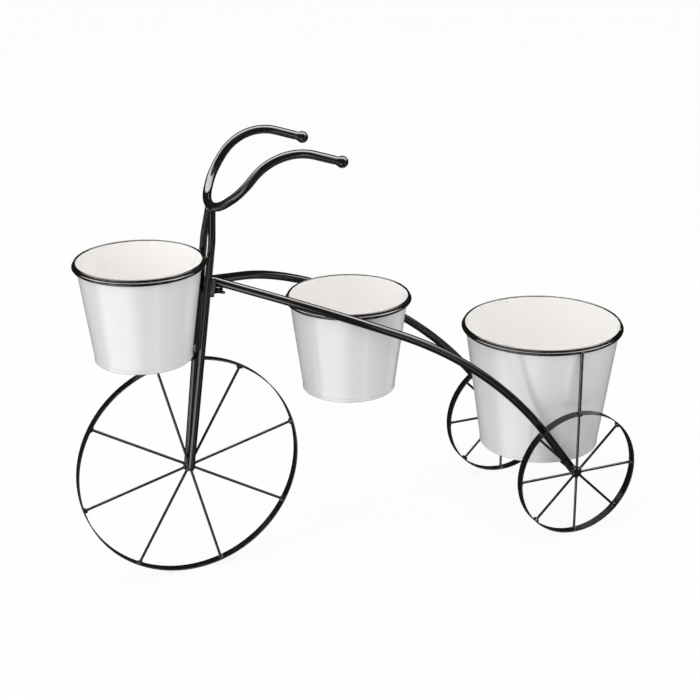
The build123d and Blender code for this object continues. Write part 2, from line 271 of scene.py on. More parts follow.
def math_node(tree, operation, first, second=None, third=None):
    """Math node fed by sockets or plain numbers; returns its output."""
    node = tree.nodes.new("ShaderNodeMath")
    node.operation = operation
    for socket, value in zip(node.inputs, (first, second, third)):
        if isinstance(value, (int, float)):
            socket.default_value = value
        elif value is not None:
            tree.links.new(value, socket)
    return node.outputs[0]


def ramp(tree, value, low, high):
    """Smooth step of a value from 0 at low to 1 at high."""
    node = tree.nodes.new("ShaderNodeMapRange")
    node.interpolation_type = "SMOOTHSTEP"
    tree.links.new(value, node.inputs["Value"])
    for label, number in (("From Min", low), ("From Max", high)):
        if isinstance(number, (int, float)):
            node.inputs[label].default_value = number
        else:
            tree.links.new(number, node.inputs[label])
    return node.outputs["Result"]


def noise(tree, vector, scale, detail=2.0, rough=0.5):
    """Noise texture's value on a vector."""
    node = add_node(tree, "ShaderNodeTexNoise")
    node.inputs["Scale"].default_value = scale
    node.inputs["Detail"].default_value = detail
    node.inputs["Roughness"].default_value = rough
    tree.links.new(vector, node.inputs["Vector"])
    return node.outputs["Fac"]


def mix_colour(tree, factor, first, second):
    """Mix of two colours, each a socket or a plain colour."""
    node = tree.nodes.new("ShaderNodeMix")
    node.data_type = "RGBA"
    tree.links.new(factor, node.inputs["Factor"])
    for socket, value in ((node.inputs[6], first), (node.inputs[7], second)):
        if isinstance(value, bpy.types.NodeSocket):
            tree.links.new(value, socket)
        else:
            socket.default_value = (*value, 1.0)
    return node.outputs[2]


def paint_skin_group():
    """Sprayed paint: orange peel height, cloudy gloss and thin dust, all from noise."""
    group, given, out = new_group(
        "paint_skin",
        (
            ("Vector", "NodeSocketVector", (0, 0, 0)),
            ("Peel Scale", "NodeSocketFloat", 900.0),
            ("Gloss Low", "NodeSocketFloat", 0.1),
            ("Gloss High", "NodeSocketFloat", 0.3),
        ),
        (
            ("Height", "NodeSocketFloat"),
            ("Roughness", "NodeSocketFloat"),
            ("Dust", "NodeSocketFloat"),
            ("Cloud", "NodeSocketFloat"),
        ),
    )
    where = given.outputs["Vector"]
    peel = add_node(group, "ShaderNodeTexNoise")
    peel.inputs["Detail"].default_value = 2.0
    group.links.new(where, peel.inputs["Vector"])
    group.links.new(given.outputs["Peel Scale"], peel.inputs["Scale"])
    runs = noise(group, where, 90.0, 1.0)
    height = math_node(group, "MULTIPLY_ADD", runs, 1.5, peel.outputs["Fac"])
    cloud = noise(group, where, 24.0, 4.0)
    spread = math_node(group, "SUBTRACT", given.outputs["Gloss High"], given.outputs["Gloss Low"])
    gloss = math_node(
        group, "MULTIPLY_ADD", ramp(group, cloud, 0.3, 0.75), spread, given.outputs["Gloss Low"]
    )
    specks = noise(group, where, 2600.0, 3.0, 0.7)
    dust = ramp(group, specks, 0.68, 0.82)
    for value, socket in zip((height, gloss, dust, cloud), out.inputs):
        group.links.new(value, socket)
    return group


def edge_wear_group():
    """Rubbed edges: the mesh's pointiness, broken up by noise."""
    group, given, out = new_group(
        "edge_wear",
        (
            ("Vector", "NodeSocketVector", (0, 0, 0)),
            ("Start", "NodeSocketFloat", 0.56),
            ("End", "NodeSocketFloat", 0.66),
        ),
        (("Wear", "NodeSocketFloat"),),
    )
    corners = group.nodes.new("ShaderNodeNewGeometry").outputs["Pointiness"]
    edge = ramp(group, corners, given.outputs["Start"], given.outputs["End"])
    patches = ramp(group, noise(group, given.outputs["Vector"], 160.0, 5.0, 0.65), 0.48, 0.62)
    group.links.new(math_node(group, "MULTIPLY", edge, patches), out.inputs["Wear"])
    return group


def place_group(tree, group, vector, **values):
    """A node group in a material, with its own values."""
    node = tree.nodes.new("ShaderNodeGroup")
    node.node_tree = group
    tree.links.new(vector, node.inputs["Vector"])
    for label, value in values.items():
        node.inputs[label.replace("_", " ")].default_value = value
    return node


def new_material(name):
    """Material with an empty Principled surface; returns it, its tree and the shader."""
    material = bpy.data.materials.new(name)
    material.use_nodes = True
    return material, material.node_tree, material.node_tree.nodes["Principled BSDF"]


def object_coordinates(tree):
    return tree.nodes.new("ShaderNodeTexCoord").outputs["Object"]


def bump(tree, shader, height, strength, distance):
    """Bump node from a height into the shader's normal."""
    node = add_node(tree, "ShaderNodeBump", Strength=strength, Distance=distance)
    tree.links.new(height, node.inputs["Height"])
    tree.links.new(node.outputs["Normal"], shader.inputs["Normal"])


def black_paint_material(name, looks, low, high, peel, spread=0.00005):
    """Gloss black paint: cloudy gloss, orange peel, grey rubbed edges and a little dust."""
    material, tree, shader = new_material(name)
    where = object_coordinates(tree)
    skin = place_group(
        tree, looks["paint_skin"], where, Peel_Scale=peel, Gloss_Low=low, Gloss_High=high
    )
    wear = place_group(tree, looks["edge_wear"], where)
    paint = bpy.context.scene.stand_paint
    deep = tuple(paint.black_colour)
    lighter = tuple(c * 1.9 + 0.002 for c in deep)
    colour = mix_colour(tree, skin.outputs["Cloud"], deep, lighter)
    colour = mix_colour(tree, wear.outputs["Wear"], colour, tuple(paint.worn_colour))
    dusty = math_node(tree, "MULTIPLY", skin.outputs["Dust"], 0.05)
    colour = mix_colour(tree, dusty, colour, (0.35, 0.34, 0.33))
    tree.links.new(colour, shader.inputs["Base Color"])
    rubbed = math_node(tree, "MULTIPLY_ADD", wear.outputs["Wear"], 0.25, skin.outputs["Roughness"])
    tree.links.new(rubbed, shader.inputs["Roughness"])
    shader.inputs["Specular IOR Level"].default_value = paint.black_shine
    bump(tree, shader, skin.outputs["Height"], 0.35, spread)
    return material


def clouded(colour, share):
    """A colour and the same one dimmed to a share of it."""
    return tuple(colour), tuple(c * share for c in colour)


def enamel_material(name, looks, centre, seed, nicks, on_bead):
    """White enamel with a black rim. The mesh's paint_run says how far a point lies from the
    bead's top, in millimetres: below zero towards the inside, above zero towards the outside.
    The bead has the frame paint's shine, and the sheet the enamel's. Painted shade is a grey line
    under the foot and one in the groove above the foot bead."""
    material, tree, shader = new_material(name)
    paint = bpy.context.scene.stand_paint
    shift = add_node(tree, "ShaderNodeMapping")
    shift.inputs["Location"].default_value = (-centre[0], -centre[1], -centre[2] + seed)
    tree.links.new(object_coordinates(tree), shift.inputs["Vector"])
    where = shift.outputs["Vector"]
    run = add_node(tree, "ShaderNodeAttribute", attribute_name="paint_run").outputs["Fac"]

    skin = place_group(
        tree, looks["paint_skin"], where, Peel_Scale=420.0, Gloss_Low=0.14, Gloss_High=0.22
    )
    slow = noise(tree, where, 26.0, 2.0)
    quick = noise(tree, where, 210.0, 4.0, 0.65)
    inner_edge = math_node(tree, "MULTIPLY_ADD", slow, -1.2, paint.inner_paint_edge + 0.6)
    inner_edge = math_node(tree, "ADD", inner_edge, 0.35)
    inner_edge = math_node(tree, "MULTIPLY_ADD", quick, -0.7, inner_edge)
    outer_edge = math_node(tree, "MULTIPLY_ADD", quick, 0.8, paint.outer_paint_edge - 0.4)
    blur = 0.08
    past_inner = ramp(tree, math_node(tree, "SUBTRACT", run, inner_edge), -blur, blur)
    before_outer = ramp(tree, math_node(tree, "SUBTRACT", outer_edge, run), -blur, blur)
    black = math_node(tree, "MULTIPLY", past_inner, before_outer)
    chips = ramp(tree, noise(tree, where, 95.0, 5.0, 0.6), nicks, nicks + 0.03)
    top_only = ramp(tree, run, 1.2, 0.2)
    chips = math_node(tree, "MULTIPLY", chips, top_only)
    black = math_node(tree, "MULTIPLY", black, math_node(tree, "SUBTRACT", 1.0, chips))

    outside = ramp(tree, run, 3.0, 3.2)
    cloud = skin.outputs["Cloud"]
    # The inside white is painted lighter than the enamel, to make up for the shade inside the
    # cavity.
    inside_white = mix_colour(tree, cloud, *clouded(paint.inside_white_painted_lighter, 0.97))
    outside_white = mix_colour(tree, cloud, *clouded(paint.outside_colour, 0.975))
    white = mix_colour(tree, outside, inside_white, outside_white)
    specks = math_node(tree, "MULTIPLY", skin.outputs["Dust"], 0.10)
    white = mix_colour(tree, specks, white, (0.45, 0.43, 0.40))
    split = tree.nodes.new("ShaderNodeSeparateXYZ")
    tree.links.new(where, split.inputs[0])
    above = math_node(tree, "SUBTRACT", split.outputs["Z"], seed)
    # Painted shade on the outside: a grey line at the very bottom of the foot and one in the
    # groove above the foot bead.
    lip = math_node(tree, "MULTIPLY", ramp(tree, above, 1.3 * MM, 0.4 * MM), 0.55)
    groove = math_node(tree, "ABSOLUTE", math_node(tree, "SUBTRACT", above, 4.1 * MM))
    groove = math_node(tree, "MULTIPLY", ramp(tree, groove, 0.7 * MM, 0.1 * MM), 0.28)
    painted_foot_shade = math_node(tree, "MULTIPLY", outside, math_node(tree, "MAXIMUM", lip, groove))
    white = mix_colour(tree, painted_foot_shade, white, (0.30, 0.30, 0.31))
    colour = mix_colour(tree, black, white, tuple(paint.black_colour))
    tree.links.new(colour, shader.inputs["Base Color"])
    dry = math_node(tree, "MULTIPLY", black, -0.06)
    tree.links.new(
        math_node(tree, "ADD", skin.outputs["Roughness"], dry), shader.inputs["Roughness"]
    )
    height = math_node(tree, "MULTIPLY_ADD", black, 1.2, skin.outputs["Height"])
    bump(tree, shader, height, 0.2, 0.00004)
    if on_bead:
        shader.inputs["Specular IOR Level"].default_value = paint.black_shine
    else:
        shader.inputs["IOR"].default_value = 1.5
    return material


def wire_material(looks):
    """Plain drawn wire: fine scratches and a slight brown bloom."""
    material, tree, shader = new_material("plain_wire")
    where = object_coordinates(tree)
    skin = place_group(
        tree, looks["paint_skin"], where, Peel_Scale=1800.0, Gloss_Low=0.28, Gloss_High=0.5
    )
    colour = mix_colour(tree, skin.outputs["Cloud"], (0.52, 0.52, 0.53), (0.36, 0.33, 0.30))
    tree.links.new(colour, shader.inputs["Base Color"])
    tree.links.new(skin.outputs["Roughness"], shader.inputs["Roughness"])
    shader.inputs["Metallic"].default_value = 1.0
    bump(tree, shader, skin.outputs["Height"], 0.3, 0.00006)
    return material


def base_material(looks):
    """The white of a pot's base, a little duller and dustier than the wall."""
    material, tree, shader = new_material("base_enamel")
    paint = bpy.context.scene.stand_paint
    where = object_coordinates(tree)
    skin = place_group(
        tree, looks["paint_skin"], where, Peel_Scale=620.0, Gloss_Low=0.22, Gloss_High=0.38
    )
    shader.inputs["Specular IOR Level"].default_value = 0.2
    # The base takes the inside white, which is painted lighter than the enamel to make up for the
    # shade in the cavity.
    colour = mix_colour(tree, skin.outputs["Cloud"], *clouded(paint.inside_white_painted_lighter, 0.93))
    specks = math_node(tree, "MULTIPLY", skin.outputs["Dust"], 0.2)
    colour = mix_colour(tree, specks, colour, (0.42, 0.40, 0.37))
    tree.links.new(colour, shader.inputs["Base Color"])
    tree.links.new(skin.outputs["Roughness"], shader.inputs["Roughness"])
    bump(tree, shader, skin.outputs["Height"], 0.25, 0.00009)
    return material


def shared_looks():
    """The node groups and materials, made once and then found again."""
    if "paint_skin" not in bpy.data.node_groups:
        paint_skin_group()
        edge_wear_group()
    looks = {name: bpy.data.node_groups[name] for name in ("paint_skin", "edge_wear")}
    if "black_paint_bars" not in bpy.data.materials:
        black_paint_material("black_paint_bars", looks, 0.06, 0.13, 700.0)
        black_paint_material("black_paint_strip", looks, 0.1, 0.22, 900.0)
        black_paint_material("black_paint_welds", looks, 0.12, 0.3, 520.0, 0.0002)
        wire_material(looks)
        base_material(looks)
    return looks


def paint_with(obj, name):
    """The piece's only material becomes the named one."""
    obj.data.materials.clear()
    obj.data.materials.append(bpy.data.materials[name])


# ---------------------------------------------------------------- settings


class StandPotSettings(bpy.types.PropertyGroup):
    """Sizes of the sheet pots."""

    bead: bpy.props.FloatProperty(
        name="Bead", description="Diameter of the rolled rim", default=2.6 * MM, unit="LENGTH"
    )
    sheet: bpy.props.FloatProperty(
        name="Sheet", description="Thickness of the sheet", default=0.45 * MM, unit="LENGTH"
    )
    foot_proud: bpy.props.FloatProperty(
        name="Foot bead",
        description="How far the foot bead stands proud",
        default=0.7 * MM,
        unit="LENGTH",
    )
    foot_height: bpy.props.FloatProperty(
        name="Foot height", description="Height of the foot bead", default=4.0 * MM, unit="LENGTH"
    )
    dent: bpy.props.FloatProperty(
        name="Unevenness",
        description="How far the rolled sheet wanders",
        default=0.12 * MM,
        unit="LENGTH",
    )
    steps: bpy.props.IntProperty(
        name="Steps round", description="Faces round a pot", default=288, min=48
    )


class StandPaintSettings(bpy.types.PropertyGroup):
    """Colours of the paints."""

    black_colour: bpy.props.FloatVectorProperty(
        name="Black",
        description="Frame paint",
        default=(0.003, 0.003, 0.0033),
        subtype="COLOR",
        min=0,
        max=1,
    )
    worn_colour: bpy.props.FloatVectorProperty(
        name="Worn edge",
        description="Frame paint where it is rubbed",
        default=(0.05, 0.048, 0.047),
        subtype="COLOR",
        min=0,
        max=1,
    )
    # The enamel's warmer inside white, also painted lighter than it is to make up for the shade
    # inside the pot's cavity.
    inside_white_painted_lighter: bpy.props.FloatVectorProperty(
        name="Inside white",
        description="Enamel inside the pots",
        default=(0.945, 0.935, 0.92),
        subtype="COLOR",
        min=0,
        max=1,
    )
    outside_colour: bpy.props.FloatVectorProperty(
        name="Outside white",
        description="Enamel outside the pots",
        default=(0.70, 0.70, 0.71),
        subtype="COLOR",
        min=0,
        max=1,
    )
    black_shine: bpy.props.FloatProperty(
        name="Black shine", description="Specular level of the frame paint", default=0.5,
        subtype="FACTOR", min=0, max=1,
    )
    inner_paint_edge: bpy.props.FloatProperty(
        name="Inner paint edge", description="Where the black starts, mm inwards from the top",
        default=-1.85,
    )
    outer_paint_edge: bpy.props.FloatProperty(
        name="Outer paint edge", description="Where the black ends, mm outwards from the top",
        default=6.0,
    )


class StandWeldSettings(bpy.types.PropertyGroup):
    """Size of the weld drops."""

    grain: bpy.props.FloatProperty(
        name="Grain", description="Voxel of the fused drops", default=0.45 * MM, unit="LENGTH"
    )
    fill: bpy.props.FloatProperty(
        name="Fill",
        description="Scale of every drop",
        default=1.0,
        subtype="FACTOR",
        min=0.5,
        max=1.5,
    )


class StandStageSettings(bpy.types.PropertyGroup):
    """Camera, lamps and floor."""

    lens: bpy.props.FloatProperty(
        name="Lens", description="Focal length on a 36 mm sensor", default=88.49, unit="CAMERA"
    )
    key_power: bpy.props.FloatProperty(
        name="Key", description="Power of the overhead softbox, W", default=10.0
    )
    side_power: bpy.props.FloatProperty(
        name="Sides", description="Power of each side softbox, W", default=10.0
    )
    fill_light: bpy.props.FloatProperty(
        name="Fill", description="World light on matt surfaces", default=0.86, min=0, max=1
    )


# ---------------------------------------------------------------- pieces


def pot_profile(rim_r, foot_r, height, pot):
    """Closed outline (r, z) of a pot's sheet with its rim rolled outwards, and paint_run.

    Up the outside, round the inner then the outer circle of the bead, down the inside."""
    bead_r, sheet = pot.bead / 2, pot.sheet
    slope = (rim_r + sheet - foot_r) / height
    bead_centre = (rim_r + bead_r, height)
    proud = foot_r + pot.foot_proud
    edge, shoulder = 0.3 * MM, pot.foot_height - 1.0 * MM
    above_foot = (foot_r + slope * pot.foot_height, pot.foot_height)
    foot = np.concatenate(
        (
            line((proud - edge, 0), (proud, edge), 3),
            line((proud, edge), (proud, shoulder), 5),
            line((proud, shoulder), above_foot, 4),
        )
    )
    outside = line(above_foot, (rim_r + sheet, height), 40)
    inner = arc(bead_centre, bead_r - sheet, 180, INNER_TURN_END, 22)
    outer = arc(bead_centre, bead_r, INNER_TURN_END, 180, 32)
    inside = line((rim_r, height), (foot_r - sheet, 0), 44)[1:]
    inside = np.concatenate((inside, [(foot_r - sheet, 0)]))
    profile = np.concatenate((foot, outside, inner, outer, inside))
    outer_run = np.radians(90 - np.linspace(INNER_TURN_END, 180, len(outer))) * bead_r / MM
    inside_run = outer_run[-1] - (height - inside[:, 1]) / MM
    far = np.full(len(foot) + len(outside) + len(inner), FAR_OUTSIDE)
    return profile, np.concatenate((far, outer_run, inside_run))


def make_pot_shell(prefix, seed):
    """Sheet wall of a pot with its rolled rim: the profile turned about the pot's axis, with
    r + dent * waves(angle, height), which fades out at the rim and the foot."""
    pot = bpy.context.scene.stand_pot
    foot, bead_outer, height = pot_place(prefix)
    height -= pot.bead / 2
    rim_r = bead_outer - pot.bead
    foot_r = POTS[prefix][0] * MM
    profile, run = pot_profile(rim_r, foot_r, height, pot)
    points = turned(profile, foot, (0, 0, 1), pot.steps)
    turn = circle_turns(pot.steps)[None, :]
    level = (profile[:, 1] / height)[:, None]
    size, wave, phase = soft_waves(5, seed)
    waves = sum(
        s * np.sin(w[0] * turn + 1.7 * w[1] * level + p) for s, w, p in zip(size, wave, phase)
    )
    fade = np.clip(np.sin(np.clip(level, 0, 1) * np.pi) * 1.6, 0, 1)
    outward = unit(np.stack((np.cos(turn), np.sin(turn), 0 * turn), -1))
    points = points + outward * (pot.dent * fade * waves / len(size))[..., None]
    obj = surface(prefix + "_shell", points, wrap_rows=True, crease=50.0)
    tag = obj.data.attributes.new("paint_run", "FLOAT", "POINT")
    tag.data.foreach_set("value", np.repeat(run, pot.steps).astype(np.float32))
    on_bead = (run > BEAD_RUN[0]) & (run < BEAD_RUN[1])
    obj.data.polygons.foreach_set("material_index", np.tile(on_bead, pot.steps).astype(np.int32))
    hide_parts(prefix + "_wall")
    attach(obj, prefix)
    return obj, foot


class STAND_OT_pots(bpy.types.Operator):
    """Enamelled pots with rolled black rims"""

    bl_idname = "stand.pots"
    bl_label = "Pots"

    def execute(self, context):
        looks = shared_looks()
        for number, (prefix, (_, nicks)) in enumerate(POTS.items()):
            obj, foot = make_pot_shell(prefix, 11 + number)
            for part in ("_enamel", "_bead"):
                material = enamel_material(
                    prefix + part, looks, foot, 0.37 * number, nicks, part == "_bead"
                )
                obj.data.materials.append(material)
            paint_with(frame["nodes"][prefix + "_base"], "base_enamel")
            paint_with(frame["nodes"][prefix + "_rim_wire"], "plain_wire")
        return {"FINISHED"}


class STAND_OT_ball_ends(bpy.types.Operator):
    """Balls on flared necks at the handlebar's ends"""

    bl_idname = "stand.ball_ends"
    bl_label = "Ball ends"

    def execute(self, context):
        shared_looks()
        grip = unit(np.array(GRIP_DIRECTION))
        ball_r = BALL_RADIUS * MM
        profile = np.concatenate((NECK, arc((0, 0), BALL_RADIUS, -34, 90, 32))) * MM
        profile[-1, 0] = 0
        for name, side in (("ball_end_left", 1), ("ball_end_right", -1)):
            low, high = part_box(name)
            farthest = max(abs(low.y), abs(high.y))
            centre = np.array((high.x - ball_r, side * farthest - side * ball_r, low.z + ball_r))
            points = turned(profile, centre, grip * (1, side, 1), 48)
            obj = surface(name + "_turned", points, crease=60.0)
            close_pole(obj)
            paint_with(obj, "black_paint_bars")
            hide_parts(name)
            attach(obj, "frame")
        return {"FINISHED"}


def close_pole(obj):
    """Merges the points that lie on the axis, so that the ends are closed."""
    weld = obj.modifiers.new("poles", "WELD")
    weld.merge_threshold = 1e-6
    bake_modifiers(obj)


def keep_weld(obj, *nodes):
    """A weld piece: painted, on the frame, and standing for the CAD beads that it covers."""
    paint_with(obj, "black_paint_welds")
    if nodes:
        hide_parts(*nodes)
    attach(obj, "frame")


def radial(angle):
    """Unit vector in a wheel's plane, at an angle from rearwards towards up."""
    return np.array((math.cos(angle), 0, math.sin(angle)))


def tangent(angle):
    """Unit vector along a wheel's hoop at an angle."""
    return np.array((-math.sin(angle), 0, math.cos(angle)))


def spoke_angles(prefix):
    """Angles of a wheel's spokes."""
    first = FRONT_SPOKE_START if prefix == "front_wheel" else 0.0
    return np.radians(np.arange(SPOKES) * 360 / SPOKES + first)


def drop(rng, size, spot, low, high):
    """A drop at a spot, its three half-axes drawn between low and high, in mm."""
    return spot, size * rng.uniform(low, high, 3)


def hub_drops(rng, size, prefix):
    """One drop on the hub at the root of each spoke."""
    hub, reach = box_centre(prefix + "_hub"), 5.6
    return [
        drop(rng, size, hub + radial(a) * reach * MM, 2.0, 2.7) for a in spoke_angles(prefix)
    ]


def spoke_drops(rng, size, prefix):
    """Three drops in a row along the hoop's inside at the end of each spoke."""
    hub = box_centre(prefix + "_hub")
    low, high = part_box(prefix + "_rim")
    strip = 2.1 * MM
    reach = (high.x - low.x) / 2 - strip
    drops = []
    for a in spoke_angles(prefix):
        for slide in (-2.3, 0.1, 2.2):
            inward = 0.9 - 0.25 * abs(slide) + rng.uniform(-0.2, 0.3)
            aside = (slide + rng.uniform(-0.4, 0.4)) * MM
            spot = hub + radial(a) * (reach - inward * MM) + tangent(a) * aside
            drops.append(drop(rng, size, spot, 1.5, 2.2))
    return drops


def fork_foot_drops(rng, size):
    """Six drops round the end of each fork bar, on the two faces of the front hub."""
    hub = box_centre("front_wheel_hub")
    around = ((-3.2, 1.5), (3.2, 1.5), (-2.2, -2.2), (2.2, -2.4), (0, 4.4), (0, -3.0))
    drops = []
    for side in (1, -1):
        for x, z in around:
            spot = hub + np.array((x, side * rng.uniform(3.0, 4.6), z)) * MM
            drops.append(drop(rng, size, spot, 2.2, 3.2))
    return drops


def fork_top_drops(rng, size):
    """Two rows of drops across the fork's bars, where they meet the handlebar."""
    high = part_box("fork_bar_left")[1]
    top = np.array((high.x - 4.2 * MM, 0, high.z - 1.0 * MM))
    drops = []
    for y, z in ((-5.0, -1.2), (-2.0, -1.6), (0.0, -3.0), (2.0, -1.6), (5.0, -1.2)):
        for x in (-2.6, 2.6):
            spot = top + np.array((x + rng.uniform(-0.3, 0.3), y, z)) * MM
            drops.append(drop(rng, size, spot, (1.6, 1.8, 1.4), (2.3, 2.4, 2.1)))
    return drops


def front_ring_drops(rng, size):
    """Three drops in the place of each CAD bead between the front ring and a fork bar."""
    high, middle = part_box("front_ring_welds")[1], box_centre("front_ring_welds")
    drops = []
    for side in (1, -1):
        y = side * (high.y - 2.5 * MM)
        for dx, dz in ((-1.6, 0.4), (0.2, -0.6), (1.8, 0.5)):
            wander = rng.uniform(-0.5, 0.5) * MM
            spot = (middle[0] + dx * MM, y + wander, middle[2] + dz * MM)
            drops.append(drop(rng, size, spot, (1.9, 2.3, 2.2), (2.5, 3.1, 2.9)))
    return drops


def middle_ring_drops(rng, size):
    """Three drops in the place of each CAD bead between the middle ring and a tube."""
    high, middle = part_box("middle_ring_welds")[1], box_centre("middle_ring_welds")
    drops = []
    for side in (1, -1):
        y = side * (high.y - 1.6 * MM)
        for dx, dz in ((-2.6, 0.6), (-0.4, -0.3), (2.2, 0.2)):
            spot = (middle[0] + dx * MM, y, middle[2] + dz * MM)
            drops.append(drop(rng, size, spot, (1.8, 1.7, 1.9), (2.4, 2.2, 2.6)))
    return drops


def ring_post_drops(rng, size):
    """Five drops round both ends of each post, at its surface."""
    post_r, drops = 1.9, []
    for name in ("ring_post_left", "ring_post_right"):
        low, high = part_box(name)
        post = box_centre(name)
        for z, up in ((low.z, 1), (high.z, -1)):
            for a in np.radians(np.arange(5) * 72.0 + rng.uniform(0, 60)):
                x = post[0] + post_r * MM * math.cos(a)
                y = post[1] + post_r * MM * math.sin(a)
                spot = (x, y, z + up * rng.uniform(0.2, 0.9) * MM)
                drops.append(drop(rng, size, spot, 1.2, 1.8))
    return drops


def axle_drops(rng, size):
    """Two rings of seven drops on the axle, beside each rear hub and the tube's end."""
    drops = []
    for side, wheel in ((1, "rear_wheel_left_hub"), (-1, "rear_wheel_right_hub")):
        hub = box_centre(wheel)
        for a in np.radians(np.arange(7) * 360 / 7):
            for inward, out in ((3.2, 3.6), (6.6, 3.9)):
                place = (out * math.cos(a), -side * inward, out * math.sin(a))
                drops.append(drop(rng, size, hub + np.array(place) * MM, 1.6, 2.3))
    return drops


def plate_drops(rng, size):
    """A row of five drops down both edges of each clamp plate."""
    drops = []
    for name, away, half_width in (("fork_plate", -1.0, 7.4), ("backbone_plate", 1.0, 6.2)):
        low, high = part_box(name)
        for side in (1, -1):
            for z in np.linspace(low.z + 9 * MM, high.z - 2 * MM, 5):
                lean = (z - low.z) / (high.z - low.z)
                x = low.x + (high.x - low.x) * (0.25 + 0.5 * lean) + away * MM
                drops.append(drop(rng, size, (x, side * half_width * MM, z), 1.3, 2.0))
    return drops


class STAND_OT_welds(bpy.types.Operator):
    """Weld beads at the hubs, rings, posts, fork and axle"""

    bl_idname = "stand.welds"
    bl_label = "Welds"

    def execute(self, context):
        shared_looks()
        weld = context.scene.stand_weld
        size, grain = weld.fill * MM, weld.grain
        rng = np.random.default_rng(5)
        for prefix in WHEELS:
            drops = hub_drops(rng, size, prefix)
            keep_weld(drop_cloud(prefix + "_hub_weld", drops, grain, seed=21))
            drops = spoke_drops(rng, size, prefix)
            keep_weld(drop_cloud(prefix + "_spoke_welds", drops, grain, seed=26))
        for name, make_drops, seed, *covered in (
            ("fork_foot_welds", fork_foot_drops, 31),
            ("fork_top_welds", fork_top_drops, 41),
            ("front_ring_weld_beads", front_ring_drops, 51, "front_ring_welds"),
            ("middle_ring_weld_beads", middle_ring_drops, 61, "middle_ring_welds"),
            ("ring_post_welds", ring_post_drops, 71),
            ("axle_welds", axle_drops, 81),
            ("plate_welds", plate_drops, 91),
        ):
            keep_weld(drop_cloud(name, make_drops(rng, size), grain, seed=seed), *covered)
        return {"FINISHED"}


def bolt_points(head, back, steps=40, rows=190):
    """Grid of a hex bolt, from the middle of its head's face to the middle of its end.

    head: point = head + back * z + ring * min(share * corner, flat / cos(turn from a flat))
    rod: radius = outer - depth * triangle wave of (z / pitch - turn), narrower at the end"""
    head_height, flat, corner = 3.5 * MM, 4.0 * MM, 4.55 * MM
    length = 21.5 * MM - 0.2 * MM
    outer, depth, pitch = 2.45 * MM, 0.42 * MM, 0.8 * MM
    turn = circle_turns(steps)
    side = np.array((0, 1.0, 0))
    across = np.cross(back, side)
    ring = side * np.cos(turn)[:, None] + across * np.sin(turn)[:, None]

    z = head_height + np.linspace(0, 1, rows) * (length - head_height)
    tooth = np.abs(((z[:, None] / pitch - turn[None, :] / (2 * np.pi)) % 1.0) * 2 - 1)
    radius = outer - depth * tooth
    radius *= np.clip((length - z) / (0.6 * MM) + 0.72, 0, 1)[:, None]
    rod = head + z[:, None, None] * back + radius[..., None] * ring

    from_flat = np.abs(((turn + np.pi / 6) % (np.pi / 3)) - np.pi / 6)
    hexagon = flat / np.cos(from_flat)
    share, rise = np.array(
        ((0.0, 0.90, 0.97, 1.0, 1.0), (0.0, 0.0, 0.12 * MM, 0.4 * MM, head_height))
    )
    reach = np.minimum(share[:, None] * corner, hexagon[None, :]) * (share[:, None] > 0)
    crown = head + rise[:, None, None] * back + reach[..., None] * ring
    crown[-1] = head + head_height * back + hexagon[:, None] * ring
    middle = np.broadcast_to(rod[-1].mean(0), (1, steps, 3))
    return np.concatenate((crown, rod, middle))


class STAND_OT_clamp(bpy.types.Operator):
    """Threaded bolt of the clamp"""

    bl_idname = "stand.clamp"
    bl_label = "Clamp"

    def execute(self, context):
        shared_looks()
        rake = math.radians(6.85)
        back = np.array((math.cos(rake), 0, -math.sin(rake)))
        head = box_centre("clamp_bolt") - back * 10.6 * MM
        obj = surface("clamp_bolt_threaded", bolt_points(head, back), crease=35.0)
        close_pole(obj)
        paint_with(obj, "black_paint_strip")
        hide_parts("clamp_bolt")
        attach(obj, "frame")
        return {"FINISHED"}


class STAND_OT_frame_paint(bpy.types.Operator):
    """Black paint on every carried piece of the frame"""

    bl_idname = "stand.frame_paint"
    bl_label = "Frame paint"

    def execute(self, context):
        shared_looks()
        for name in frame["record"]["behaviour"]["bodies"]["frame"]:
            strip = name.endswith(("_rim", "_plate", "washer", "nut", "_hub"))
            paint_with(frame["nodes"][name], "black_paint_strip" if strip else "black_paint_bars")
        return {"FINISHED"}


# ---------------------------------------------------------------- stage


def softbox(name, place, target, size, power):
    """Area lamp at a place, facing a target, both in metres."""
    lamp = bpy.data.lights.new(name, "AREA")
    lamp.shape, lamp.size, lamp.size_y = "RECTANGLE", size[0], size[1]
    lamp.energy = power
    obj = bpy.data.objects.new(name, lamp)
    bpy.context.scene.collection.objects.link(obj)
    aim = (Vector(target) - Vector(place)).to_track_quat("-Z", "Y")
    obj.matrix_world = Matrix.Translation(place) @ aim.to_matrix().to_4x4()
    return obj


def reflected_box(tree, direction, centre, level, halves, soft):
    """Soft-edged rectangle of the sky: directions near centre, with half its width along
    level and half its height across it, and edges as soft as that share of them."""
    centre, level = unit(centre), unit(level)
    rise = np.cross(level, centre)
    parts = []
    for axis, half in zip((level, rise), halves):
        dot = add_node(tree, "ShaderNodeVectorMath", operation="DOT_PRODUCT")
        tree.links.new(direction, dot.inputs[0])
        dot.inputs[1].default_value = tuple(axis)
        off = math_node(tree, "ABSOLUTE", dot.outputs["Value"])
        parts.append(ramp(tree, off, half * (1 + soft), half * (1 - soft)))
    front = add_node(tree, "ShaderNodeVectorMath", operation="DOT_PRODUCT")
    tree.links.new(direction, front.inputs[0])
    front.inputs[1].default_value = tuple(centre)
    inside = math_node(tree, "MULTIPLY", parts[0], parts[1])
    return math_node(tree, "MULTIPLY", inside, ramp(tree, front.outputs["Value"], 0.0, 0.1))


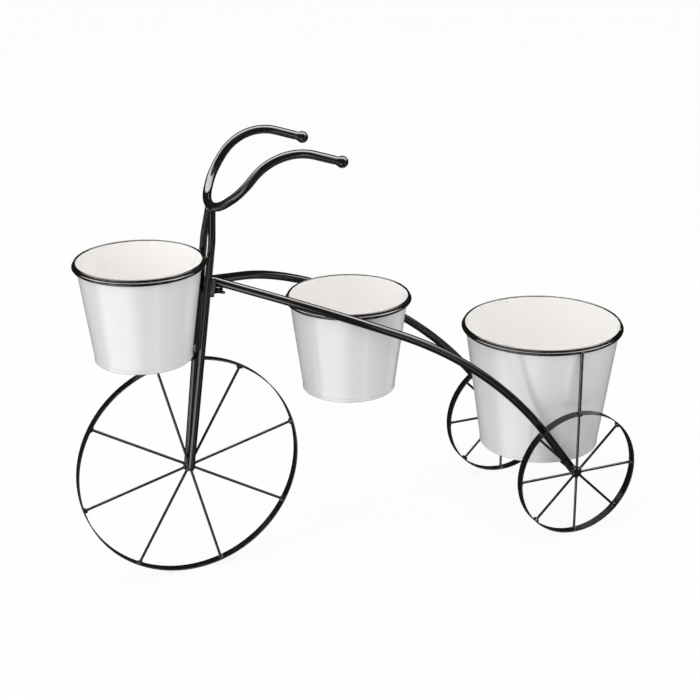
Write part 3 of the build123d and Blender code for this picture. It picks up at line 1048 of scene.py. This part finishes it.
def white_background(fill):
    """World: white to the camera and through glass. Gloss sees a dark studio with softboxes:
    a long one overhead, a broad one low at the front left and a narrow one at the front right."""
    world = bpy.data.worlds.new("studio")
    bpy.context.scene.world = world
    world.use_nodes = True
    tree = world.node_tree
    tree.nodes.clear()
    path = tree.nodes.new("ShaderNodeLightPath")
    seen = math_node(
        tree, "MAXIMUM", path.outputs["Is Camera Ray"], path.outputs["Is Transmission Ray"]
    )
    direction = tree.nodes.new("ShaderNodeTexCoord").outputs["Generated"]
    behind = add_node(tree, "ShaderNodeVectorMath", operation="DOT_PRODUCT")
    tree.links.new(direction, behind.inputs[0])
    behind.inputs[1].default_value = (*BEHIND, 0.0)
    backdrop = ramp(tree, behind.outputs["Value"], -0.3, 0.7)
    gloss = mix_colour(tree, backdrop, (0.10, 0.10, 0.11), (0.03, 0.03, 0.031))
    for centre, half_width, half_height, soft, glow in SOFTBOXES:
        level = (*RIGHTWARDS, 0) if centre[2] > 0.9 else (centre[1], -centre[0], 0)
        box = reflected_box(tree, direction, centre, level, (half_width, half_height), soft)
        gloss = mix_colour(tree, box, gloss, glow)
    plain = (fill, fill * 0.995, fill * 0.985)
    colour = mix_colour(tree, path.outputs["Is Glossy Ray"], plain, gloss)
    colour = mix_colour(tree, seen, colour, (1.0, 1.0, 1.0))
    light = add_node(tree, "ShaderNodeBackground", Strength=1.0)
    out = tree.nodes.new("ShaderNodeOutputWorld")
    tree.links.new(colour, light.inputs["Color"])
    tree.links.new(light.outputs[0], out.inputs["Surface"])


def floor_material():
    """White floor: nearly all white to the camera, and matt enough to keep the shadow. Gloss
    sees the studio through it, as if the softboxes were mirrored in it."""
    material, tree, shader = new_material("studio_floor")
    where = object_coordinates(tree)
    mottle = noise(tree, where, 3.0, 3.0)
    mottled = mix_colour(tree, mottle, (0.86, 0.86, 0.86), (0.89, 0.89, 0.89))
    tree.links.new(mottled, shader.inputs["Base Color"])
    shader.inputs["Roughness"].default_value = 0.9
    path = tree.nodes.new("ShaderNodeLightPath")
    seen = math_node(
        tree, "MAXIMUM", path.outputs["Is Camera Ray"], path.outputs["Is Transmission Ray"]
    )
    share = math_node(tree, "MULTIPLY", seen, 0.9)
    shader.inputs["Specular IOR Level"].default_value = 0.0
    glow = add_node(tree, "ShaderNodeEmission", Strength=1.0)
    mix = tree.nodes.new("ShaderNodeMixShader")
    tree.links.new(share, mix.inputs[0])
    tree.links.new(shader.outputs[0], mix.inputs[1])
    tree.links.new(glow.outputs[0], mix.inputs[2])
    clear = tree.nodes.new("ShaderNodeBsdfTransparent")
    through = tree.nodes.new("ShaderNodeMixShader")
    for socket, value in zip(
        through.inputs, (path.outputs["Is Glossy Ray"], mix.outputs[0], clear.outputs[0])
    ):
        tree.links.new(value, socket)
    tree.links.new(through.outputs[0], tree.nodes["Material Output"].inputs["Surface"])
    return material


class STAND_OT_stage(bpy.types.Operator):
    """Camera, lamps, white floor and background"""

    bl_idname = "stand.stage"
    bl_label = "Stage"

    def execute(self, context):
        scene = context.scene
        settings = scene.stand_stage
        scene.view_settings.view_transform = "Standard"

        camera = bpy.data.cameras.new("photo_camera")
        camera.lens, camera.sensor_width = settings.lens, 36.0
        camera.sensor_fit = "HORIZONTAL"
        camera.clip_start, camera.clip_end = 0.05, 50
        obj = bpy.data.objects.new("photo_camera", camera)
        scene.collection.objects.link(obj)
        turn, tilt, roll = np.radians(CAMERA_TURN_TILT_ROLL)
        right = Vector((math.cos(turn), math.sin(turn), 0))
        ahead = Vector(
            (-math.sin(turn) * math.cos(tilt), math.cos(turn) * math.cos(tilt), -math.sin(tilt))
        )
        up = right.cross(ahead)
        level_right = right * math.cos(roll) + up * math.sin(roll)
        level_up = up * math.cos(roll) - right * math.sin(roll)
        turned_to = Matrix((level_right, level_up, -ahead)).transposed().to_4x4()
        obj.matrix_world = Matrix.Translation(CAMERA_PLACE) @ turned_to
        scene.camera = obj

        reach, count = 8.0, 17
        steps = np.linspace(-reach, reach, count)
        x, y = np.meshgrid(steps, steps, indexing="ij")
        mesh = bpy.data.meshes.new("floor")
        corner = np.arange(count * count).reshape(count, count)
        quads = np.stack(
            (corner[:-1, :-1], corner[1:, :-1], corner[1:, 1:], corner[:-1, 1:]), -1
        ).reshape(-1, 4)
        mesh.from_pydata(np.stack((x, y, 0 * x), -1).reshape(-1, 3).tolist(), [], quads.tolist())
        floor = bpy.data.objects.new("floor", mesh)
        scene.collection.objects.link(floor)
        mesh.materials.append(floor_material())

        white_background(settings.fill_light)
        middle = (0.0, 0.0, 0.25)
        softbox("overhead_softbox", (-0.3, -0.3, 2.4), middle, (1.8, 1.2), settings.key_power)
        softbox("left_softbox", (-2.0, -0.9, 1.1), middle, (0.5, 1.6), settings.side_power)
        softbox("right_softbox", (1.5, -1.8, 1.0), middle, (0.4, 1.6), settings.side_power / 4)
        return {"FINISHED"}


class STAND_PT_panel(bpy.types.Panel):
    """Sizes, paints and steps of the plant stand"""

    bl_idname = "STAND_PT_panel"
    bl_label = "Bicycle plant stand"
    bl_space_type = "VIEW_3D"
    bl_region_type = "UI"
    bl_category = "Plant stand"

    def draw(self, context):
        for name in GROUPS:
            box = self.layout.box()
            settings = getattr(context.scene, name)
            for label in settings.bl_rna.properties.keys():
                if label not in ("rna_type", "name"):
                    box.prop(settings, label)
        for kind in OPERATORS:
            self.layout.operator(kind.bl_idname)


GROUPS = {
    "stand_pot": StandPotSettings,
    "stand_paint": StandPaintSettings,
    "stand_weld": StandWeldSettings,
    "stand_stage": StandStageSettings,
}
OPERATORS = (
    STAND_OT_pots,
    STAND_OT_ball_ends,
    STAND_OT_welds,
    STAND_OT_clamp,
    STAND_OT_frame_paint,
    STAND_OT_stage,
)


def register():
    for kind in (*GROUPS.values(), *OPERATORS, STAND_PT_panel):
        bpy.utils.register_class(kind)
    for name, kind in GROUPS.items():
        setattr(bpy.types.Scene, name, bpy.props.PointerProperty(type=kind))


def unregister():
    for name in GROUPS:
        delattr(bpy.types.Scene, name)
    for kind in (STAND_PT_panel, *reversed(OPERATORS), *reversed(GROUPS.values())):
        bpy.utils.unregister_class(kind)


def main():
    register()
    bpy.ops.stand.pots()
    bpy.ops.stand.ball_ends()
    bpy.ops.stand.welds()
    bpy.ops.stand.clamp()
    bpy.ops.stand.frame_paint()
    bpy.ops.stand.stage()


if __name__ == "__main__":
    main()
